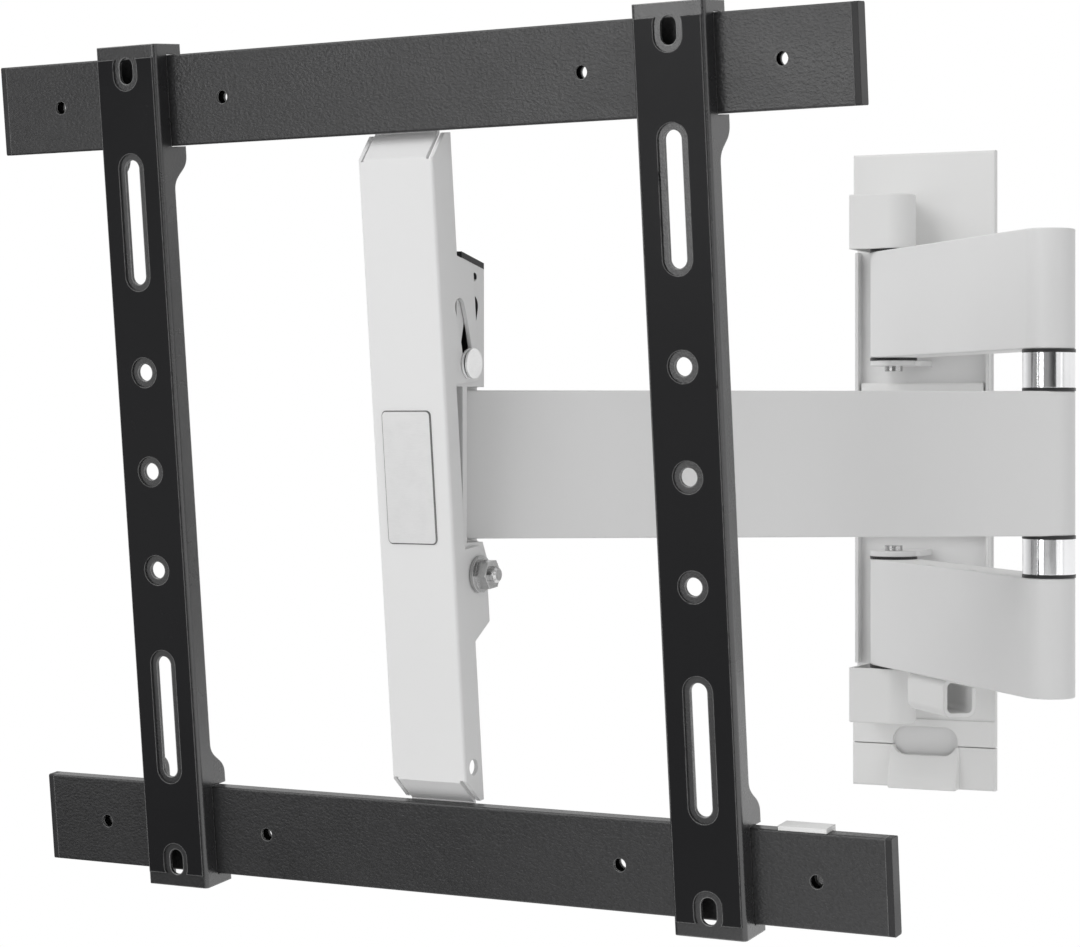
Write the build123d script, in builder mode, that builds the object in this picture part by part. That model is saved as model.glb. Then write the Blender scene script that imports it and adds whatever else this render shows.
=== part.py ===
"""A full-motion wall mount for a flat screen, in millimetres.

A narrow plate is screwed to the wall. Two wall arms, one above the other, hinge on it and meet
a single middle arm at an elbow. The far end of the middle arm carries a swivel head, on which an
upright post tilts: a pin slides in crossing slots of the head and the post and sets the lean.
The post carries two level rails, and two upright brackets hook over the rails and slide on them.

The origin is the middle of the wall plate's back. X runs to the right along the wall, Y into the
wall and Z up, so the mount stands out from the wall towards -Y.
"""
import os
from math import acos, atan2, cos, hypot, radians, sin, tan

from build123d import *

# Pose: the joints stand as photographed
wall_pivot_x = -11.0
wall_pivot_y = -27.0
wall_arm_heading = -50.3
mid_arm_heading = 209.7
head_yaw = -5.1
lean = 6.0

# Arms
wall_arm_reach = 198.0
mid_arm_reach = 300.0
arm_thick = 26.0
wall_arm_height = 60.0
mid_arm_height = 72.0
arm_skin = 3.0
arm_rim = 0.8
lid_gauge = 2.0
lid_ledge = 1.5
lid_margin = 20.0
lid_notch_length = 9.0
lid_notch_depth = 2.2

# Clearances
turn_gap = 0.05
press_gap = 0.01
slip_gap = 0.3
side_gap = 0.4

# Wall plate and its covers
plate_gauge = 3.0
top_cover_height = 25.4
lower_cover_height = 14.9
bottom_cap_height = 24.5
cover_side = 2.5
channel_width = 79.0
channel_wall = 2.0
channel_depth = 9.0
cover_wall = 1.7
cover_depth = 6.0
cover_edge = 1.2
split_gap = 0.5
housing_border = 1.3
housing_x = 1.3
housing_depth = 13.5
housing_foot = 6.0
housing_step = 1.5
window_length = 38.0
window_height = 16.0
window_rise = 2.5
wall_screw = 9.0
wall_screw_sink = 2.0
wall_screw_inset = 11.0
insert_height = 86.0
insert_slit = 1.5

# Wall hinge
hinge_bolt = 10.0
hinge_bolt_head = 17.0
hinge_bolt_head_height = 6.0
hinge_bolt_end = 3.0
hinge_bush = 14.0
hinge_bush_length = 12.0
ear_gauge = 3.0
inner_ear_radius = 13.0
ear_room = 1.0
ear_stop_reach = 15.5
knuckle_radius = 12.5
knuckle_neck = 2.5
hinge_cover_height = 31.0
hinge_cover_left = 22.3
hinge_cover_wall = 2.0
hinge_cover_edge = 1.0
washer_gauge = 1.6
washer_width = 26.6

# Elbow
elbow_shaft_width = 14.0
elbow_bush_width = 18.0
elbow_bush_length = 14.0
elbow_spacer_width = 26.0
elbow_spacer_height = 17.8
elbow_cap_gauge = 2.5

# Cable clip under the lower wall arm
arm_clip_start = 42.5
arm_clip_length = 48.0
arm_clip_width = 19.0
arm_clip_drop = 21.0
arm_clip_wall = 2.3
arm_clip_mouth = 3.0
arm_clip_round = 4.0

# Swivel head and tilt
head_pin_width = 12.0
head_pin_cap = 19.0
head_pin_cap_height = 5.0
head_nut_height = 6.0
head_bush_width = 16.0
head_bush_length = 14.0
head_plate = 3.0
head_tab = 4.0
head_gap = 2.0
head_web = 4.0
head_tab_radius = 14.0
bolt_ahead = 8.3
bolt_under_tab = 11.3
tilt_bolt_width = 8.0
tilt_nut_flats = 13.0
tilt_nut_height = 6.0
tilt_nut_flange = 18.0
tilt_nut_rim = 2.0
tilt_bolt_end = 3.2
tilt_pin_width = 8.2
tilt_pin_roller = 10.4
tilt_pin_button = 14.6
tilt_pin_button_gauge = 3.2
tilt_pin_groove = 0.8
pin_ahead = 17.5
pin_over_tab = 7.0
pin_slot_lean = 15.0
pin_travel = 29.0
pin_overtravel = 1.8
tilt_swing = 7.0
cheek_front_land = 1.1
cheek_rear_land = 5.8
cheek_top_land = 12.7
cheek_rise = 4.7
cheek_corner = 4.5
cheek_peep_hole = 4.0
cheek_peep_inset = 9.0
liner_wall = 2.5
liner_bridge = 3.0

# Post
face_ahead = 28.5
face_above = 51.7
post_width = 42.0
post_sheet = 2.0
post_front = 7.0
post_bend_round = 1.8
post_facet_width = 35.0
post_tab_gap = 0.5
post_tab_rise = 15.5
post_flange_rear = 24.5
post_flange_low_rear = 22.5
post_flange_over = 11.0
post_waist_rear = 17.6
upper_ear_land = 4.8
upper_ear_rise = 15.3
upper_ear_slope = 5.0
upper_ear_foot_land = 3.1
lower_ear_above = 13.7
lower_ear_land = 8.5
lower_ear_below = 24.3
lower_ear_taper = 7.5
lower_ear_round = 6.0
post_foot_hole = 8.0
post_foot_hole_inset = 6.5
post_foot_hole_rear = 14.5
plaque_width = 27.5
plaque_height = 64.5
plaque_gauge = 0.8
plaque_u = -1.5
plaque_v = -2.3
plaque_corner = 2.5

# Rails
rail_length = 474.0
rail_height = 45.0
rail_thick = 7.8
rail_wall = 1.5
rail_corner = 1.0
rail_front = 10.7
rail_v = 184.5
rail_cap = 3.0
rail_cap_plug = 8.0
rail_hole = 6.4
rail_hole_pitch = 100.0
rail_screw = 6.0
rail_screw_head = 11.0
rail_screw_head_height = 3.3
rail_screw_u = 9.0
rail_screw_reach = 6.0

# Cable clip on the lower rail
rail_clip_gap = 13.7
rail_clip_width = 24.0
rail_clip_wall = 2.2
rail_clip_drop = 36.0
rail_clip_reach = 15.0
rail_clip_tip = 12.0

# Screen brackets
bracket_u = 150.0
bracket_width = 36.6
bracket_overhang = 5.5
bracket_sheet = 1.8
bracket_flange = 11.0
bracket_hook = 22.0
bracket_lip = 6.0
bracket_finger = 4.6
bracket_taper = 17.0
bracket_edge = 2.0
pad_gauge = 1.0
pad_width = 33.4
pad_end = 6.5
pad_margin = 3.2
screen_hole = 8.6
screen_hole_pitch = 50.0
screen_slot_width = 8.6
screen_slot_low = 94.0
screen_slot_high = 156.0
end_hole_width = 8.0
end_hole_length = 13.0
end_hole_inset = 12.5

# Levels from the arms' middle, up or down alike
mid_face = mid_arm_height / 2
wall_arm_face = mid_face + elbow_spacer_height + 2 * washer_gauge
wall_arm_outer = wall_arm_face + wall_arm_height
inner_ear = wall_arm_face - washer_gauge
outer_ear = wall_arm_outer + washer_gauge
channel_half = outer_ear + hinge_cover_height
tab_level = mid_face + washer_gauge
tab_outer = tab_level + head_tab
bolt_below = tab_outer + bolt_under_tab
pin_above = tab_outer + pin_over_tab

# Heights above the origin, which lies halfway up the plate with its covers
base_width = channel_width + 2 * cover_side
base_height = 2 * channel_half + top_cover_height + lower_cover_height + bottom_cap_height
arm_level = (lower_cover_height + bottom_cap_height - top_cover_height) / 2
channel_top = arm_level + channel_half
channel_bottom = arm_level - channel_half
split_z = channel_bottom - lower_cover_height
window_z = split_z + window_rise
wall_screw_z = base_height / 2 - wall_screw_inset

# Frames of the moving bodies: x along an arm, or across the screen with y towards the wall
WALL = Location()
HINGE = Location((wall_pivot_x, wall_pivot_y, arm_level))
ARM = HINGE * Location((0, 0, 0), (0, 0, wall_arm_heading))
ELBOW = ARM * Location((wall_arm_reach, 0, 0))
MID = Location(ELBOW.position, (0, 0, mid_arm_heading))
HEAD_AXIS = MID * Location((mid_arm_reach, 0, 0))
HEAD = Location(HEAD_AXIS.position, (0, 0, head_yaw))
TILT = HEAD * Location((0, -bolt_ahead, -bolt_below), (lean, 0, 0))
PLATE = TILT * Location((0, -face_ahead, face_above))

# How far the plate's front lies behind the wall hinge's axis
wall_gap = -wall_pivot_y - plate_gauge


def on(frame, base=Plane.XY, x=0, y=0, z=0):
    """A sketch plane at a point of a body's frame, turned as one of the base planes is there."""
    return Plane(frame * Location((x, y, z)) * base.location)


def keep(piece, name):
    """Name a finished piece and write it to its own file."""
    piece.part.label = name
    export_step(piece.part, f"parts/{name}.step")


def ring_stack(frame, levels, outer, inner, height):
    """Like rings round an upright axis, each standing on its own level."""
    with BuildPart() as rings:
        for level in levels:
            with BuildSketch(on(frame, z=level)):
                Circle(outer / 2)
                Circle(inner / 2, mode=Mode.SUBTRACT)
            extrude(amount=height)
    return rings


def both_ways(low, height):
    """The foot of a piece that stands on a level, and of its twin that hangs below the mirrored one."""
    return (low, -low - height)


def front_bends(piece, frame):
    """The upright edges along the two sides of a folded piece's front."""
    front = piece.edges().filter_by(frame.z_axis).group_by(frame.y_axis)[0].group_by(frame.x_axis)
    return front[0] + front[-1]


os.makedirs("parts", exist_ok=True)

# Wall plate: flat steel with sunk screw holes and a shallow channel along the hinges
plate_rim = cover_wall + slip_gap
flange_x = (channel_width - channel_wall) / 2
with BuildPart() as wall_plate:
    with BuildSketch(on(WALL, Plane.XZ)):
        Rectangle(base_width - 2 * plate_rim, base_height - 2 * plate_rim)
        with Locations((0, wall_screw_z), (0, -wall_screw_z)):
            Circle(wall_screw / 2, mode=Mode.SUBTRACT)
    extrude(amount=plate_gauge)
    chamfer(wall_plate.faces().sort_by(Axis.Y)[0].edges().filter_by(GeomType.CIRCLE), wall_screw_sink)
    with BuildSketch(on(WALL, Plane.XZ)):
        with Locations((-flange_x, arm_level), (flange_x, arm_level)):
            Rectangle(channel_wall, 2 * (outer_ear - slip_gap))
    extrude(amount=channel_depth)
keep(wall_plate, "wall_plate")


def plate_outline():
    """The outline of the room that the end covers leave for the plate behind them."""
    with BuildSketch(on(WALL, Plane.XZ)) as outline:
        Rectangle(base_width - 2 * cover_wall, base_height - 2 * cover_wall)
    return outline.sketch


cover_gauge = plate_gauge + cover_wall
apron_left = wall_pivot_x + knuckle_neck + cover_wall


def apron(level):
    """The outline of the panel that a cover has beside a hinge cover, out to the plate's right side."""
    with BuildSketch(on(WALL, Plane.XZ)) as outline:
        with Locations(((apron_left + base_width / 2) / 2, level)):
            Rectangle(base_width / 2 - apron_left, hinge_cover_height)
    return outline.sketch


def front_rim(cover):
    """The edges of a cover's front that lie along the outer sides of the plate."""
    rim = cover.faces().sort_by(Axis.Y)[0].outer_wire().edges()
    side = base_width / 2 - split_gap
    end = base_height / 2 - split_gap
    return [edge for edge in rim if abs(edge.center().X) > side or abs(edge.center().Z) > end]


def window():
    """The outline of the window across the seam of the lower covers."""
    with BuildSketch(on(WALL, Plane.XZ)) as outline:
        with Locations((housing_x, window_z)):
            SlotOverall(window_length, window_height)
    return outline.sketch


# Top cover: plain, over the upper screw, with an apron beside the upper hinge
with BuildPart() as top_cover:
    with BuildSketch(on(WALL, Plane.XZ)):
        with Locations((0, channel_top + top_cover_height / 2)):
            Rectangle(base_width, top_cover_height)
    extrude(amount=cover_gauge)
    extrude(apron(channel_top - hinge_cover_height / 2), amount=cover_gauge)
    fillet(front_rim(top_cover), cover_edge)
    extrude(plate_outline(), amount=plate_gauge, mode=Mode.SUBTRACT)
keep(top_cover, "top_cover")

# Lower cover: flat, with the upper half of the window and an apron beside the lower hinge
cover_foot = split_z + split_gap / 2
with BuildPart() as lower_cover:
    with BuildSketch(on(WALL, Plane.XZ)):
        with Locations((0, (cover_foot + channel_bottom) / 2)):
            Rectangle(base_width, channel_bottom - cover_foot)
    extrude(amount=cover_depth)
    fillet(front_rim(lower_cover), cover_edge)
    extrude(apron(channel_bottom + hinge_cover_height / 2), amount=cover_gauge)
    extrude(plate_outline(), amount=plate_gauge, mode=Mode.SUBTRACT)
    extrude(window(), amount=cover_depth, mode=Mode.SUBTRACT)
keep(lower_cover, "lower_cover")

# Bottom cap: with the lower half of the window, above a housing that swells towards its foot
cap_top = split_z - split_gap / 2
cap_foot = -base_height / 2
housing_half = window_length / 2 + housing_border
housing_inside = housing_depth - cover_wall
with BuildPart() as bottom_cap:
    with BuildSketch(on(WALL, Plane.XZ)):
        with Locations((0, (cap_foot + cap_top) / 2)):
            Rectangle(base_width, cap_top - cap_foot)
    extrude(amount=cover_depth)
    fillet(front_rim(bottom_cap), cover_edge)
    with BuildSketch(on(WALL, Plane.YZ, x=housing_x)):
        Polygon(
            (0, cap_foot),
            (-housing_depth, cap_foot),
            (-housing_depth, cap_foot + housing_foot),
            (-cover_depth - housing_step, cap_top),
            (0, cap_top),
            align=None,
        )
    extrude(amount=housing_half, both=True)
    swell = [edge for edge in bottom_cap.edges() if edge.center().Y < -cover_depth - housing_step]
    corners = [edge for edge in swell if abs(edge.center().X - housing_x) > housing_half - split_gap]
    fillet(corners, cover_edge)
    extrude(plate_outline(), amount=plate_gauge, mode=Mode.SUBTRACT)
    with BuildSketch(on(WALL, Plane.YZ, x=housing_x)):
        Polygon(
            (0, cap_foot + cover_wall),
            (-housing_inside, cap_foot + cover_wall),
            (-housing_inside, cap_foot + housing_foot),
            (cover_wall - cover_depth, cap_top - cover_wall),
            (0, cap_top - cover_wall),
            align=None,
        )
    extrude(amount=housing_half - cover_wall, both=True, mode=Mode.SUBTRACT)
    extrude(window(), amount=housing_depth, mode=Mode.SUBTRACT)
keep(bottom_cap, "bottom_cap")

# Insert: a shallow moulded tray that closes the channel behind the folded middle arm
insert_width = channel_width - 2 * channel_wall - 2 * insert_slit
with BuildPart() as centre_insert:
    with BuildSketch(on(WALL, Plane.XZ, y=-plate_gauge, z=arm_level)):
        Rectangle(insert_width, insert_height)
    extrude(amount=channel_depth - plate_gauge)
    fillet(centre_insert.faces().sort_by(Axis.Y)[0].edges(), cover_edge)
    with BuildSketch(on(WALL, Plane.XZ, y=-plate_gauge, z=arm_level)):
        Rectangle(insert_width - 2 * cover_wall, insert_height - 2 * cover_wall)
    extrude(amount=channel_depth - plate_gauge - cover_wall, mode=Mode.SUBTRACT)
keep(centre_insert, "centre_insert")


outer_ear_radius = knuckle_radius - hinge_cover_wall - ear_room
outer_ear_neck = knuckle_neck - hinge_cover_wall - slip_gap


def knuckle_plan(radius, left, front, neck):
    """A round knuckle with a back to the plate, wide on the left and drawn in to a neck on the right."""
    touch = atan2(wall_gap, neck) - acos(radius / hypot(wall_gap, neck))
    Circle(radius)
    Polygon(
        (-left, wall_gap),
        (neck, wall_gap),
        (radius * cos(touch), radius * sin(touch)),
        (0, -front),
        (-left, -front),
        align=None,
    )


def hinge_bracket(side):
    """A bent steel bracket in the channel, with an ear above and an ear below its arm."""
    strip = outer_ear + ear_gauge - (inner_ear - ear_gauge)
    stop_slope = ear_stop_reach - inner_ear_radius
    with BuildPart() as bracket:
        with BuildSketch(on(HINGE, z=side * (inner_ear - ear_gauge))):
            with Locations(((outer_ear_neck - outer_ear_radius) / 2, wall_gap - ear_gauge / 2)):
                Rectangle(outer_ear_neck + outer_ear_radius, ear_gauge)
        extrude(amount=side * strip)
        with BuildSketch(on(HINGE, z=side * inner_ear)):
            Circle(inner_ear_radius)
            with Locations((0, wall_gap / 2)):
                Rectangle(2 * inner_ear_radius, wall_gap)
            Polygon(
                (0, wall_gap),
                (ear_stop_reach, wall_gap),
                (ear_stop_reach, stop_slope / 2),
                (inner_ear_radius, -stop_slope / 2),
                (0, -stop_slope / 2),
                align=None,
            )
            Circle(hinge_bolt / 2 + press_gap, mode=Mode.SUBTRACT)
        extrude(amount=-side * ear_gauge)
        with BuildSketch(on(HINGE, z=side * outer_ear)):
            knuckle_plan(outer_ear_radius, outer_ear_radius, 0, outer_ear_neck)
            Circle(hinge_bolt / 2 + press_gap, mode=Mode.SUBTRACT)
        extrude(amount=side * ear_gauge)
    return bracket


def hinge_cover(side):
    """A moulded cover over the outer ear and the bolt's head, open towards its arm and the plate."""
    inside = knuckle_radius - hinge_cover_wall
    with BuildPart() as cover:
        with BuildSketch(on(HINGE, z=side * outer_ear)):
            knuckle_plan(knuckle_radius, hinge_cover_left, knuckle_radius, knuckle_neck)
        extrude(amount=side * hinge_cover_height)
        end = cover.faces().sort_by(Axis.Z)[-1 if side > 0 else 0]
        fillet([edge for edge in end.edges() if edge.center().Y < -plate_gauge - slip_gap], hinge_cover_edge)
        with BuildSketch(on(HINGE, z=side * outer_ear)):
            knuckle_plan(inside, hinge_cover_left - hinge_cover_wall, inside, knuckle_neck - hinge_cover_wall)
        extrude(amount=side * (hinge_cover_height - hinge_cover_wall), mode=Mode.SUBTRACT)
    return cover


def hinge_bolts():
    """The two long bolts on which the wall arms turn."""
    shank = outer_ear + ear_gauge - (inner_ear - ear_gauge) + hinge_bolt_end
    with BuildPart() as bolts:
        for side in (1, -1):
            with BuildSketch(on(HINGE, z=side * (outer_ear + ear_gauge))):
                Circle(hinge_bolt / 2)
            extrude(amount=-side * shank)
            with BuildSketch(on(HINGE, z=side * (outer_ear + ear_gauge))):
                RegularPolygon(hinge_bolt_head / 2, 6)
            extrude(amount=side * hinge_bolt_head_height)
    return bolts


for side, place in ((1, "upper"), (-1, "lower")):
    keep(hinge_bracket(side), f"{place}_hinge_bracket")
    keep(hinge_cover(side), f"{place}_hinge_cover")
keep(hinge_bolts(), "hinge_bolts")

washer_bore = hinge_bolt + 2 * slip_gap
washer_feet = both_ways(inner_ear, washer_gauge) + both_ways(wall_arm_outer, washer_gauge)
keep(ring_stack(HINGE, washer_feet, washer_width, washer_bore, washer_gauge), "hinge_washers")


def arm_body(frame, reach, open_face, height, near_bore, far_bore):
    """A cast arm with round ends, bored at both, and hollow between them with one face open for a lid."""
    inward = 1 if height > 0 else -1
    lid_room = reach - 2 * lid_margin
    hollow = arm_thick - 2 * arm_skin
    with BuildPart() as arm:
        with BuildSketch(on(frame, x=reach / 2, z=open_face)):
            SlotCenterToCenter(reach, arm_thick)
        extrude(amount=height)
        fillet(arm.faces().filter_by(Axis.Z).edges(), arm_rim)
        with BuildSketch(on(frame, x=reach / 2, z=open_face)):
            Rectangle(lid_room, hollow)
        extrude(amount=inward * lid_gauge, mode=Mode.SUBTRACT)
        with BuildSketch(on(frame, x=reach / 2, z=open_face)):
            Rectangle(lid_room - 2 * lid_ledge, hollow - 2 * lid_ledge)
        extrude(amount=height - inward * arm_skin, mode=Mode.SUBTRACT)
        with BuildSketch(on(frame, z=open_face)):
            Circle(near_bore / 2 + press_gap)
            with Locations((reach, 0)):
                Circle(far_bore / 2 + press_gap)
        extrude(amount=height, mode=Mode.SUBTRACT)
    return arm


def arm_lid(frame, reach, open_face, inward):
    """The snap-in lid of a hollow arm, with two notches to lift it out by."""
    length = reach - 2 * lid_margin - 2 * slip_gap
    width = arm_thick - 2 * arm_skin - 2 * slip_gap
    with BuildPart() as lid:
        with BuildSketch(on(frame, x=reach / 2, z=open_face)):
            Rectangle(length, width)
            with Locations((-length / 6, -width / 2), (length / 6, -width / 2)):
                Rectangle(lid_notch_length, 2 * lid_notch_depth, mode=Mode.SUBTRACT)
        extrude(amount=inward * lid_gauge)
    return lid


for side, place in ((1, "upper"), (-1, "lower")):
    wall_arm = arm_body(
        ARM, wall_arm_reach, side * wall_arm_face, side * wall_arm_height, hinge_bush, elbow_shaft_width
    )
    keep(wall_arm, f"{place}_wall_arm")
    keep(arm_lid(ARM, wall_arm_reach, side * wall_arm_face, side), f"{place}_wall_arm_lid")

hinge_bush_feet = both_ways(wall_arm_face, hinge_bush_length)
hinge_bush_feet += both_ways(wall_arm_outer - hinge_bush_length, hinge_bush_length)
hinge_bush_bore = hinge_bolt + 2 * turn_gap
keep(ring_stack(ARM, hinge_bush_feet, hinge_bush, hinge_bush_bore, hinge_bush_length), "hinge_bushes")

# Cable clip: a moulded hook under the lower wall arm, with its mouth at the back
clip_side = (arm_clip_width - arm_clip_wall) / 2
clip_top = -arm_clip_wall / 2
clip_floor = arm_clip_wall / 2 - arm_clip_drop
with BuildPart() as arm_cable_clip:
    with BuildSketch(on(ARM, Plane.YZ, x=arm_clip_start, z=-wall_arm_outer)):
        with BuildLine():
            FilletPolyline(
                (arm_clip_width / 2, clip_top),
                (-clip_side, clip_top),
                (-clip_side, clip_floor),
                (clip_side, clip_floor),
                (clip_side, -arm_clip_wall - arm_clip_mouth),
                radius=arm_clip_round,
            )
        trace(line_width=arm_clip_wall)
    extrude(amount=arm_clip_length)
keep(arm_cable_clip, "arm_cable_clip")

# Elbow: a shaft fixed in both wall arms, on which the middle arm turns between bright spacers
with BuildPart() as elbow_shaft:
    with BuildSketch(on(ELBOW)):
        Circle(elbow_shaft_width / 2)
    extrude(amount=wall_arm_outer - elbow_cap_gauge, both=True)
keep(elbow_shaft, "elbow_shaft")

with BuildPart() as elbow_caps:
    for side in (1, -1):
        with BuildSketch(on(ELBOW, z=side * wall_arm_outer)):
            Circle(elbow_shaft_width / 2)
        extrude(amount=-side * elbow_cap_gauge)
keep(elbow_caps, "elbow_caps")

elbow_bore = elbow_shaft_width + 2 * slip_gap
spacer_feet = both_ways(mid_face + washer_gauge, elbow_spacer_height)
keep(ring_stack(ELBOW, spacer_feet, elbow_spacer_width, elbow_bore, elbow_spacer_height), "elbow_spacers")
elbow_washer_feet = both_ways(mid_face, washer_gauge) + both_ways(inner_ear, washer_gauge)
keep(ring_stack(ELBOW, elbow_washer_feet, washer_width, elbow_bore, washer_gauge), "elbow_washers")

# Middle arm, with bushes for the elbow shaft and for the head pin
mid_arm = arm_body(MID, mid_arm_reach, -mid_face, mid_arm_height, elbow_bush_width, head_bush_width)
keep(mid_arm, "mid_arm")
keep(arm_lid(MID, mid_arm_reach, -mid_face, 1), "mid_arm_lid")
elbow_bush_feet = both_ways(mid_face - elbow_bush_length, elbow_bush_length)
elbow_bush_bore = elbow_shaft_width + 2 * turn_gap
keep(ring_stack(MID, elbow_bush_feet, elbow_bush_width, elbow_bush_bore, elbow_bush_length), "elbow_bushes")
head_bush_feet = both_ways(mid_face - head_bush_length, head_bush_length)
head_bush_bore = head_pin_width + 2 * turn_gap
keep(ring_stack(HEAD_AXIS, head_bush_feet, head_bush_width, head_bush_bore, head_bush_length), "head_bushes")

# Swivel head: tabs above and below the arm's end, a web in front of it and a pair of cheeks at each
# end of the web. The upper cheeks hold the tilt pin in slanting slots, the lower ones the tilt bolt.
head_web_front = arm_thick / 2 + head_gap + head_web
cheek_outer = post_width / 2 - post_sheet - side_gap
cheek_inner = cheek_outer - head_plate
pin_slot_width = tilt_pin_roller + 2 * slip_gap


def along_head_slot(travel):
    """Where the tilt pin's middle stands in the head after some travel up its slot, as (y, z)."""
    tilted = radians(pin_slot_lean)
    return (travel * sin(tilted) - pin_ahead, travel * cos(tilted) + pin_above)


def along_post_slot(travel):
    """The same point as seen on the post, which leans back as the pin climbs, as (rear, up)."""
    y, z = along_head_slot(travel)
    turned = radians(lean - tilt_swing * travel / pin_travel)
    ahead = y + bolt_ahead
    above = z + bolt_below
    return (
        ahead * cos(turned) + above * sin(turned) + face_ahead,
        above * cos(turned) - ahead * sin(turned) - face_above,
    )


pin_low = along_head_slot(-pin_overtravel)
pin_high = along_head_slot(pin_travel)
pin_slot_middle = ((pin_low[0] + pin_high[0]) / 2, (pin_low[1] + pin_high[1]) / 2)
cheek_front = pin_low[0] - pin_slot_width / 2 - cheek_front_land
cheek_rear = pin_high[0] + pin_slot_width / 2 + cheek_rear_land
cheek_low_top = pin_high[1] + pin_slot_width / 2 + cheek_top_land
cheek_high_top = cheek_low_top + cheek_rise
lower_cheek_rear = head_tab_radius - 2 * head_plate
cheek_foot = bolt_below + tilt_bolt_width + head_plate
with BuildPart() as swivel_head:
    with BuildSketch(on(HEAD, Plane.XZ, y=-head_web_front)):
        Rectangle(2 * cheek_outer, 2 * tab_outer)
    extrude(amount=-head_web)
    for side in (1, -1):
        with BuildSketch(on(HEAD, z=side * tab_level)):
            Circle(head_tab_radius)
            with Locations((0, -head_web_front / 2)):
                Rectangle(2 * cheek_outer, head_web_front)
            Circle(head_pin_width / 2 + press_gap, mode=Mode.SUBTRACT)
        extrude(amount=side * head_tab)
        with BuildSketch(on(HEAD, Plane.YZ, x=side * cheek_outer)):
            Polygon(
                (cheek_front, tab_level),
                (cheek_rear, tab_level),
                (cheek_rear, cheek_low_top),
                (cheek_front + cheek_corner, cheek_high_top),
                (cheek_front, cheek_high_top - cheek_corner),
                align=None,
            )
            with Locations((cheek_rear - cheek_peep_inset, cheek_low_top - cheek_peep_hole)):
                Circle(cheek_peep_hole / 2, mode=Mode.SUBTRACT)
            with Locations(Location(pin_slot_middle, (0, 0, 90 - pin_slot_lean))):
                SlotCenterToCenter(pin_travel + pin_overtravel, pin_slot_width, mode=Mode.SUBTRACT)
            Polygon(
                (-head_web_front, -tab_level),
                (0, -tab_level),
                (lower_cheek_rear, -bolt_below),
                (-bolt_ahead + tilt_bolt_width, -cheek_foot),
                (-head_web_front, -cheek_foot),
                align=None,
            )
            with Locations((-bolt_ahead, -bolt_below)):
                Circle(tilt_bolt_width / 2 + press_gap, mode=Mode.SUBTRACT)
        extrude(amount=-side * head_plate)
keep(swivel_head, "swivel_head")

# Liner: a dark moulding between the upper cheeks, hollow from below, which bridges their sloping tops
liner_foot = tab_outer + head_pin_cap_height + slip_gap
liner_front = cheek_front + cheek_corner
with BuildPart() as head_liner:
    with BuildSketch(on(HEAD, Plane.YZ)):
        Polygon(
            (liner_front, liner_foot),
            (cheek_rear, liner_foot),
            (cheek_rear, cheek_low_top),
            (liner_front, cheek_high_top),
            align=None,
        )
    extrude(amount=cheek_inner, both=True)
    with BuildSketch(on(HEAD, Plane.YZ)):
        Polygon(
            (liner_front, cheek_high_top),
            (cheek_rear, cheek_low_top),
            (cheek_rear, cheek_low_top + liner_bridge),
            (liner_front, cheek_high_top + liner_bridge),
            align=None,
        )
    extrude(amount=cheek_outer, both=True)
    with BuildSketch(on(HEAD, Plane.YZ)):
        Polygon(
            (liner_front + liner_wall, liner_foot),
            (cheek_rear - liner_wall, liner_foot),
            (cheek_rear - liner_wall, cheek_low_top - liner_wall),
            (liner_front + liner_wall, cheek_high_top - liner_wall),
            align=None,
        )
    extrude(amount=cheek_inner - liner_wall, both=True, mode=Mode.SUBTRACT)
    with BuildSketch(on(HEAD, Plane.YZ)):
        with Locations(Location(pin_slot_middle, (0, 0, 90 - pin_slot_lean))):
            SlotCenterToCenter(pin_travel + pin_overtravel, tilt_pin_width + 2 * slip_gap)
    extrude(amount=cheek_inner, both=True, mode=Mode.SUBTRACT)
keep(head_liner, "head_liner")

head_washer_bore = head_pin_width + 2 * slip_gap
head_washer_feet = both_ways(mid_face, washer_gauge)
keep(ring_stack(HEAD, head_washer_feet, washer_width, head_washer_bore, washer_gauge), "head_washers")

with BuildPart() as head_pin:
    with BuildSketch(on(HEAD, z=tab_outer)):
        Circle(head_pin_width / 2)
    extrude(amount=-2 * tab_outer - head_nut_height)
    with BuildSketch(on(HEAD, z=tab_outer)):
        RegularPolygon(head_pin_cap / 2, 6)
    extrude(amount=head_pin_cap_height)
keep(head_pin, "head_pin")

with BuildPart() as head_nut:
    with BuildSketch(on(HEAD, z=-tab_outer)):
        RegularPolygon(head_pin_cap / 2, 6)
        Circle(head_pin_width / 2 + press_gap, mode=Mode.SUBTRACT)
    extrude(amount=-head_nut_height)
keep(head_nut, "head_nut")

# Tilt bolt: across the head and the post, with a flange nut on the right
post_side = post_width / 2
nut_face = post_side + slip_gap
bolt_tip = nut_face + tilt_nut_rim + tilt_nut_height + tilt_bolt_end
with BuildPart() as tilt_bolt:
    with BuildSketch(on(TILT, Plane.YZ, x=-nut_face)):
        Circle(tilt_bolt_width / 2)
    extrude(amount=nut_face + bolt_tip)
    with BuildSketch(on(TILT, Plane.YZ, x=-nut_face)):
        RegularPolygon(tilt_nut_flats / 2, 6, major_radius=False)
    extrude(amount=-tilt_nut_height)
    chamfer(tilt_bolt.faces().sort_by(Axis.X)[-1].edges(), post_sheet / 2)
keep(tilt_bolt, "tilt_bolt")

with BuildPart() as tilt_nut:
    with BuildSketch(on(TILT, Plane.YZ, x=nut_face)):
        Circle(tilt_nut_flange / 2)
        Circle(tilt_bolt_width / 2 + press_gap, mode=Mode.SUBTRACT)
    extrude(amount=tilt_nut_rim)
    with BuildSketch(on(TILT, Plane.YZ, x=nut_face + tilt_nut_rim)):
        RegularPolygon(tilt_nut_flats / 2, 6, major_radius=False)
        Circle(tilt_bolt_width / 2 + press_gap, mode=Mode.SUBTRACT)
    extrude(amount=tilt_nut_height)
keep(tilt_nut, "tilt_nut")

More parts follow.
